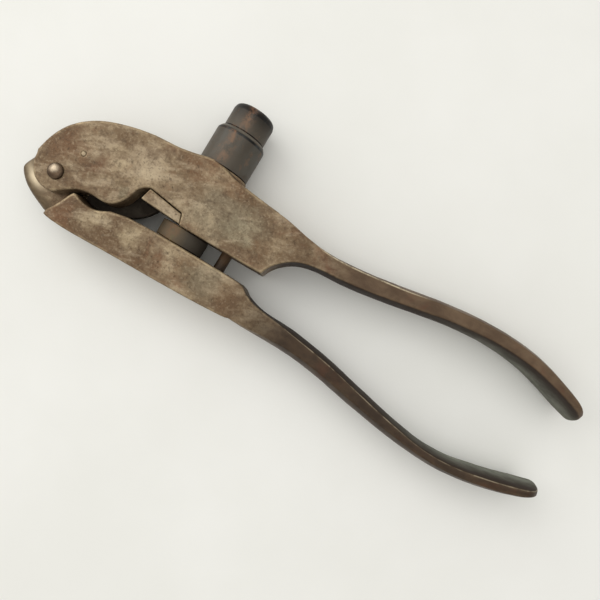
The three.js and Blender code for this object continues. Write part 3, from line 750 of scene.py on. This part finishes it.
def inside(p, poly):
    """Which points lie inside a closed outline."""
    hit = np.zeros(len(p), bool)
    for a, b in zip(poly, np.roll(poly, -1, axis=0)):
        cross = (a[1] > p[:, 1]) != (b[1] > p[:, 1])
        with np.errstate(divide="ignore", invalid="ignore"):
            xx = (b[0] - a[0]) * (p[:, 1] - a[1]) / (b[1] - a[1]) + a[0]
        hit ^= cross & (p[:, 0] < xx)
    return hit


def along(p, line, reach):
    """1 on a line through space, fading to 0 at the given distance."""
    out = np.full(len(p), 99.0)
    seg = line[::2]
    pick = np.flatnonzero((p[:, 2] > ZC + 2) & (p[:, 0] > line[:, 0].min() - 2))
    for i in range(0, len(pick), 20000):
        q = p[pick[i : i + 20000]]
        best = np.full(len(q), 1e9)
        for a, b in zip(seg[:-1], seg[1:]):
            d = b - a
            u = np.clip(((q - a) @ d) / (d @ d), 0, 1)
            best = np.minimum(best, ((q - a - u[:, None] * d) ** 2).sum(1))
        out[pick[i : i + 20000]] = np.sqrt(best)
    return np.clip(1 - out / reach, 0, 1)


def flat_mm(obj):
    v, _ = arrays(obj.data)
    v = v * 1000
    return v - np.array([SHIFT[0], SHIFT[1], 0])


frame_outline = np.vstack([run(FRAME_TOP), [[-20.6, 22.1], [-19.0, 20.9], [-17.6, 19.2]], FRAME_ARCH, FRAME_EDGE, run(FRAME_BELLY), run(FRAME_NOSE, 0)])
WIDTHS = [[-24, 10.7], [-15, 10.6], [-2, 8.7], [12, 7.8], [38, 7.5], [56, 8.0], [74, 9.5], [90, 10.5], [101, 10.7]]


def tucked(outer, sign):
    """The loft's outer line sunk a little into the head where it starts, so no step shows."""
    o = [list(p) for p in outer]
    for i, d in enumerate((1.1, 0.5, 0.12)):
        o[i][1] += sign * d
    return o


def turn_about(p, c, deg):
    a = math.radians(deg)
    p = np.array(p, float) - c
    return np.c_[p[:, 0] * math.cos(a) - p[:, 1] * math.sin(a), p[:, 0] * math.sin(a) + p[:, 1] * math.cos(a)] + c


fr = plate("frame_v", frame_outline, 0.02, W - 0.02, 0.5)
boolean(fr, [rody("boss", DIE_X, 10.15, 20, 26.5)], "UNION")
FORK_WALL = [(95, 10.6), (103, 12.2), (110, 13.6), (117, 14.8), (124, 15.8), (134, 16.4)] + [(144 + i * 3, 16.4) for i in range(43)]
wall = np.array([(HINGE[0] + r * math.cos(math.radians(a)), HINGE[1] + r * math.sin(math.radians(a))) for a, r in FORK_WALL])
slot_outline = np.vstack([arc(HINGE, 8.6, -40, 88, 40), wall, [[HINGE[0] + 3, HINGE[1] - 14.6], [HINGE[0] + 12.6, HINGE[1] - 8.4]]])
cuts = [plate("c0", slot_outline, ZC - 5.1, ZC + 5.1)]
for k in (0, -4, -8, -12):
    cuts.append(plate("c1", turn_about(inset(ccw(ARM), -0.55), np.array(EXT_PIVOT), k), ZC - 1.85 - 0.01 * k, ZC + 1.85 + 0.01 * k))
cuts += [
    rodz("c2", EXT_PIVOT, 4.2, ZC - 1.83, ZC + 1.83),
    rodz("c3", HINGE, 2.62, -1, W + 1),
    rodz("c4", EXT_PIVOT, 0.87, -1, W + 1),
    rody("c5", DIE_X, 7.62, 7.6, 30),
    rody("c6", DIE_X, 5.7, -1, 9),
    rody("c7", DIE_X, 10.6, 26.52, 34),
    rody("c8", POST_X, 2.65, -1, 8.5),
]
boolean(fr, cuts, "DIFFERENCE")
join(fr, [handle("fh", FRAME_HANDLE_IN, tucked(FRAME_HANDLE_OUT, -1), WIDTHS)])
voxel(fr, VOX)
relax(fr, 2)
undulate(fr, 0.045, 0.11, 0.0)
wear_map(fr)
zones(fr, -1)
fp = flat_mm(fr)
# painted shade: the inner walls of the fork slot are darkened towards black where shade falls
deep_shade = (np.abs(fp[:, 2] - ZC) < 4.9) & (fp[:, 0] < -60) & (fp[:, 1] < 16) & inside(fp[:, :2], ccw(slot_outline * 1.0)) 
put(fr.data, "deep_shade", deep_shade * 0.8)
# painted highlight line along the outer edge of the frame handle
put(fr.data, "line", along(fp, EDGES["fh"][1], 0.75) * np.clip((fp[:, 0] + 8) / 8, 0, 1) * np.clip((46 - fp[:, 0]) / 14, 0, 1))
finish_piece(
    fr, "frame", "frame",
    forging(
        "patina_frame", 0.0, ((77, 59, 42), (95, 76, 56), (92, 58, 38)), ((40, 27, 16), (80, 80, 70), (110, 111, 99)),
        stains=[
            ((-69.7, 13.5), 10.6, (180, 164, 138), 0.75), ((-81.6, 10.1), 7.7, (172, 155, 126), 0.7), ((-28.7, 10.2), 7.0, (170, 154, 126), 0.7),
            ((-41.4, 10.8), 13.4, (128, 120, 100), 0.6), ((-84.6, 4.2), 5.3, (104, 72, 50), 0.7), ((-99.6, 1.7), 9.2, (112, 84, 60), 0.55),
            ((-96.6, 7.7), 7.0, (106, 76, 52), 0.55), ((-53.3, 23.8), 7.0, (110, 78, 52), 0.6), ((-41.5, 22.7), 7.0, (112, 82, 56), 0.6),
            ((-75.2, 0.8), 3.2, (62, 56, 38), 0.7), ((-56.8, 9.0), 9.2, (150, 134, 108), 0.5), ((-17.8, 9.0), 5.6, (110, 90, 66), 0.5),
            ((-69.0, -6.5), 10.0, (90, 74, 55), 0.75), ((-29.0, 10.5), 10.0, (122, 118, 98), 0.6), ((-26.0, 16.0), 7.0, (104, 88, 68), 0.5),
        ],
    ),
)

lever_outline = np.vstack([run(LEVER_NOSE, 0), run(LEVER_SCOOP), LEVER_EDGE, [[-16.2, -16.8], [-17.6, -18.2], [-19.4, -18.95]], run(LEVER_BACK[1:])])
lv = plate("lever_v", lever_outline, 0.02, W - 0.02, 0.45)
knuckle = np.vstack([run(TONGUE_RIM), TONGUE_ROOT, arc(HINGE, 8.0, -22, 158, 50)])
levels = []
for a in np.linspace(-90, 90, 17):
    z = 4.8 * math.sin(math.radians(a))
    levels.append((ZC + z, 2.9 * (1 - math.cos(math.radians(a)) ** 0.8)))
kn = plate("kn", knuckle, 0, 0, levels=levels)
boolean(kn, [rodz("l1", HINGE, 2.62, -1, W + 1)], "DIFFERENCE")
boolean(lv, [rody("l2", DIE_X, 3.06, -14, 0), rody("l3", POST_X, 2.46, -13, 0)], "DIFFERENCE")
print("LEVER PARTS", len(lv.data.polygons), len(kn.data.polygons))
join(lv, [kn, handle("lh", LEVER_HANDLE_IN, tucked(LEVER_HANDLE_OUT, 1), WIDTHS)])
voxel(lv, VOX)
relax(lv, 2)
undulate(lv, 0.045, 0.11, 7.0)
wear_map(lv)
zones(lv, 1, -27)
lp = flat_mm(lv)
rim = run(TONGUE_RIM)
near = np.full(len(lp), 99.0)
for q in rim[::3]:
    near = np.minimum(near, np.hypot(lp[:, 0] - q[0], lp[:, 1] - q[1]))
put(lv.data, "knuckle", np.clip((5.6 - near) / 2.4, 0, 1) * (np.abs(lp[:, 2] - ZC) < 5.2))
# painted highlight: a curved gleam on the upper side of the knuckle's rounded rim
g = lp[:, :2] - np.array([-105.3, -11.4])
gu, gn = g @ np.array([0.864, -0.503]), g @ np.array([0.503, 0.864])
put(lv.data, "painted_gleam", np.exp(-((gu / 4.4) ** 2) - ((gn - 0.03 * gu * gu) / 1.5) ** 2) * (lp[:, 2] > ZC) * (np.abs(lp[:, 2] - ZC) < 6))
# painted highlight line along the inner edge of the lower handle
put(lv.data, "line", along(lp, EDGES["lh"][0], 0.5) * np.clip((lp[:, 0] + 14) / 8, 0, 1) * 0.8)
finish_piece(
    lv, "lower_lever", "lower_lever",
    forging(
        "patina_lever", 2.0, ((45, 31, 17), (62, 45, 27), (72, 41, 21)), ((40, 27, 16), (84, 85, 75), (116, 118, 106)),
        stains=[
            ((-75.5, -14.5), 6.0, (176, 160, 130), 0.7), ((-62.2, -12.7), 7.0, (170, 154, 124), 0.65), ((-49.1, -13.9), 6.0, (168, 152, 124), 0.65),
            ((-33.2, -9.7), 7.7, (138, 128, 108), 0.6), ((-88.7, -16.4), 4.9, (110, 78, 54), 0.6), ((-22.6, -13.6), 8.8, (108, 84, 60), 0.55),
            ((-69.7, -13.9), 2.8, (92, 70, 48), 0.5), ((-42.0, -12.1), 4.2, (118, 92, 66), 0.5),
            ((-33.0, -13.0), 9.0, (100, 88, 68), 0.7),
        ],
        knuckle=True,
    ),
)

ex = plate("ext_v", HEAD_PLATE, 0.05, W - 0.02, 0.35)
arm = plate("arm", run(ARM, 1), ZC - 1.5, ZC + 1.5, 0.3)
trims = [plate("a1", inset(ccw(lever_outline), -0.45), -1, W + 1), rodz("a6", HINGE, 10.4, -2, W + 2)]
for k in (0, 15, 30, 45, 60):
    seen = turn_about(turn_about(inset(ccw(knuckle), -0.45), np.array(HINGE), -k), np.array(EXT_PIVOT), 0.2 * k)
    trims.append(plate("a2", seen, -1.5 - 0.01 * k, W + 1.5 + 0.01 * k))
boolean(arm, trims, "DIFFERENCE")
boolean(ex, [arm, rodz("a3", EXT_PIVOT, 3.5, ZC - 1.47, ZC + 1.47)], "UNION")
boolean(ex, [rodz("a4", EXT_PIVOT, 0.87, -1, W + 1), rody("a5", DIE_X, 5.4, -2, 9)], "DIFFERENCE")
voxel(ex, 0.22)
relax(ex, 2)
wear_map(ex)
put(ex.data, "handle", np.zeros(len(ex.data.vertices)))
for k in ("inner", "spoon_shade_gradient", "knuckle", "line"):
    put(ex.data, k, np.zeros(len(ex.data.vertices)))
ep = flat_mm(ex)
# painted shade: the extractor arm, outside the head plate, is darkened to near black where it lies in shade
put(ex.data, "deep_shade", (~inside(ep[:, :2], inset(ccw(HEAD_PLATE), -0.15))) * 0.92)
finish_piece(
    ex, "extractor", "extractor",
    forging("patina_extractor", 4.0, ((124, 106, 82), (152, 138, 114), (116, 84, 60)), ((70, 62, 50), (70, 62, 50), (96, 92, 78)), stains=[((-51.4, 3.6), 14.1, (184, 168, 142), 0.75)]),
)


def lathe_piece(node, body, slot, mat, x, profile, fillet, n=160, extra=None, angle=28, zone="", shade_all=0.0, **kw):
    o = turned(node + "_v", x, fillet_profile(profile, fillet), n=n, **kw)
    if extra:
        extra(o)
    wear_map(o, 2)
    p = flat_mm(o)
    u = p[:, 0] - x
    top = np.clip((p[:, 2] - ZC) / 3, 0, 1)
    # die and cap: painted shade bands across the upper side, standing in for the reflection banding of glossy steel;
    # anvil: painted shade darkening the side away from the lamp
    if zone == "die":
        put(o.data, "bloom", np.exp(-(((u + 0.6) / 2.1) ** 2)) * top)
        put(o.data, "shade", np.clip(0.8 * np.exp(-(((u - 4.6) / 2.3) ** 2)) + 0.45 * np.exp(-(((u + 6.0) / 1.8) ** 2)), 0, 1) * top)
    elif zone == "cap":
        put(o.data, "bloom", np.exp(-(((u - 0.3) / 2.0) ** 2)) * top)
        put(o.data, "shade", np.clip(0.75 * np.exp(-(((u - 4.0) / 2.0) ** 2)) + 0.5 * np.exp(-(((u + 4.6) / 1.6) ** 2)), 0, 1) * top)
    elif zone == "anvil":
        put(o.data, "bloom", np.exp(-(((u + 2.5) / 3.5) ** 2)))
        put(o.data, "shade", np.clip((u + 0.5) / 4.5, 0, 0.95))
    else:
        put(o.data, "bloom", np.zeros(len(p)))
        put(o.data, "shade", np.full(len(p), shade_all))
    finish_piece(o, node, body, mat, angle)
    return o


lathe_piece(
    "hinge_pin", "frame", "hinge_pin_steel",
    # the pin head carries a painted highlight
    plain_steel("rivet", 1.0, (66, 51, 38), (98, 80, 62), 0.3, 0.7, wear=0.1, painted_highlight_at=(HINGE[0] - 0.3, HINGE[1] + 0.7)),
    0,
    [(0, 0.25), (2.5, 0.25), (2.5, W + 0.1), (2.85, W + 0.12), (2.85, W + 0.4)]
    + [(2.85 * math.cos(a), W + 0.4 + 1.1 * math.sin(a)) for a in np.linspace(0.15, math.pi / 2 - 0.1, 9)]
    + [(0, W + 1.5)],
    0.08, axis="z", center=HINGE, n=72,
)
lathe_piece(
    "extractor_pin", "frame", "extractor_pin_steel",
    plain_steel("pin_end", 1.5, (128, 112, 90), (164, 148, 122), 0.42, 0.6, 0.3),
    0, [(0, 0.2), (0.8, 0.2), (0.8, W - 0.06), (0.7, W + 0.0), (0, W + 0.02)], 0.05, axis="z", center=EXT_PIVOT, n=48,
)
die_mat = dark_steel("black_die", 0.2)
lathe_piece(
    "die_body", "frame", "blued_die_steel", die_mat, DIE_X,
    [(5.2, 27.4), (5.2, 8.0), (7.0, 8.0), (7.5, 8.5), (7.5, 26.6), (9.6, 26.6), (9.75, 26.8), (9.75, 39.3), (9.65, 39.8), (9.35, 40.05), (5.8, 40.05), (5.8, 33.4), (4.2, 33.0), (4.2, 28.6), (5.2, 27.4)],
    0.25, zone="die",
)
lathe_piece(
    "lock_ring", "lock_ring", "lock_ring_steel", dark_steel("black_ring", 1.2, base=((72, 67, 60), (100, 94, 84)), rust_amt=0.5, hollow=0.1), DIE_X,
    [(6.0, 40.7), (6.0, 40.09), (9.3, 40.09), (9.32, 40.3), (8.75, 41.08), (8.4, 41.28), (6.0, 41.28), (6.0, 40.7)], 0.1,
)
lathe_piece(
    "seating_cap", "seating_cap", "blued_cap_steel", dark_steel("black_cap", 2.4), DIE_X,
    [(0, 46.4), (3.0, 46.4), (3.0, 34.0), (5.4, 34.0), (5.7, 34.3), (5.7, 41.34), (8.0, 41.34), (8.2, 41.6), (8.2, 48.7), (7.75, 50.35), (6.3, 51.25), (0, 51.4)],
    [0.1, 0.1, 0.1, 0.1, 0.1, 0.2, 0.1, 0.2, 0.2, 1.1, 1.1, 1.1, 0], zone="cap",
)
lathe_piece(
    "seating_stem", "seating_stem", "bright_stem_steel", plain_steel("stem_steel", 3.1, (92, 82, 68), (126, 116, 100)), DIE_X,
    [(0, 24.2), (2.6, 24.2), (2.2, 25.4), (4.1, 25.4), (4.1, 31.6), (2.9, 32.4), (2.9, 46.0), (0, 46.0)], 0.2,
)
lathe_piece(
    "loading_anvil", "lower_lever", "brown_anvil_steel",
    dark_steel("brown_anvil", 5.2, base=((62, 49, 25), (84, 66, 38)), rust_c=(118, 82, 54), rust_amt=0.6, rough0=0.55, cool=(92, 84, 44), edge=0.35), DIE_X,
    [(0, -13.2), (2.6, -13.2), (3.0, -12.8), (3.0, -5.62), (9.05, -5.62), (9.25, -5.4), (9.25, 0.25), (9.05, 0.44), (6.2, 0.44), (6.2, -0.9), (0, -0.9)], 0.2, zone="anvil",
)

lathe_piece(
    "recapping_punch", "lower_lever", "brown_punch_steel",
    dark_steel("brown_punch", 7.2, base=((52, 38, 25), (86, 66, 46)), rust_c=(96, 64, 40), rust_amt=0.5, rough0=0.4, cool=(50, 44, 36)), POST_X,
    [(0, -12.2), (2.0, -12.2), (2.4, -11.8), (2.4, -5.8), (2.15, -5.6), (2.15, 3.0), (1.75, 3.4), (0, 3.4)], 0.12, n=80,
)

# ------------------------------------------------------------------ floor, light, camera
t = Tree("floor_pale")
fl = t.mix(t.ramp(t.noise(t.coords(), 9, 4, 0.6), 0.3, 0.7), lin((228, 229, 226)), lin((233, 234, 232)))
floor_mat = t.surface(fl, 0.92, 0.0, t.bump(t.noise(t.coords(), 900, 3, 0.6), 0.12, 0.0002), spec=0.15)
bm = bmesh.new()
bmesh.ops.create_grid(bm, x_segments=1, y_segments=1, size=2.5)
fm = bpy.data.meshes.new("floor")
bm.to_mesh(fm)
bm.free()
floor = bpy.data.objects.new("floor", fm)
bpy.context.scene.collection.objects.link(floor)
floor.location = (0, 0, -0.0001)
fm.materials.append(floor_mat)

def screen(right, up, z):
    """A place given across and up the picture, in metres from its middle."""
    c, s = math.cos(TURN), math.sin(TURN)
    return Vector((SHIFT[0] / 1000 + right * c - up * s, SHIFT[1] / 1000 + right * s + up * c, z))


def lamp(name, at, target, size, power, color, size_y=None):
    d = bpy.data.lights.new(name, "AREA")
    d.shape = "RECTANGLE"
    d.size = size
    d.size_y = size_y or size
    d.energy = power
    d.color = color
    o = bpy.data.objects.new(name, d)
    bpy.context.scene.collection.objects.link(o)
    o.location = at
    o.rotation_euler = (Vector(target) - Vector(at)).to_track_quat("-Z", "Y").to_euler()
    return o


lamp("window", screen(-0.75, 0.62, 0.62), screen(0.0, 0.0, 0.0), 1.1, 6.4, (1.0, 0.985, 0.945), 1.1)
lamp("sky", screen(0.1, 0.2, 1.3), screen(0, 0, 0), 1.6, 6.4, (1.0, 0.985, 0.95))

world = bpy.data.worlds.new("room")
bpy.context.scene.world = world
world.use_nodes = True
bg = world.node_tree.nodes["Background"]
bg.inputs["Color"].default_value = (1.0, 0.975, 0.925, 1)
bg.inputs["Strength"].default_value = 0.64

cam_data = bpy.data.cameras.new("camera")
cam_data.type = "PERSP"
cam_data.sensor_width = 36
cam_data.lens = 550.0 / 600 * 36
cam_data.shift_x = 15 / 600
cam_data.shift_y = 8 / 600
cam_data.clip_start = 0.01
cam = bpy.data.objects.new("camera", cam_data)
bpy.context.scene.collection.objects.link(cam)
cam.location = screen(-15 * 0.352e-3, -8 * 0.352e-3, 0.215)
cam.rotation_euler = (0, 0, TURN)
bpy.context.scene.camera = cam
bpy.context.scene.view_settings.view_transform = "Standard"
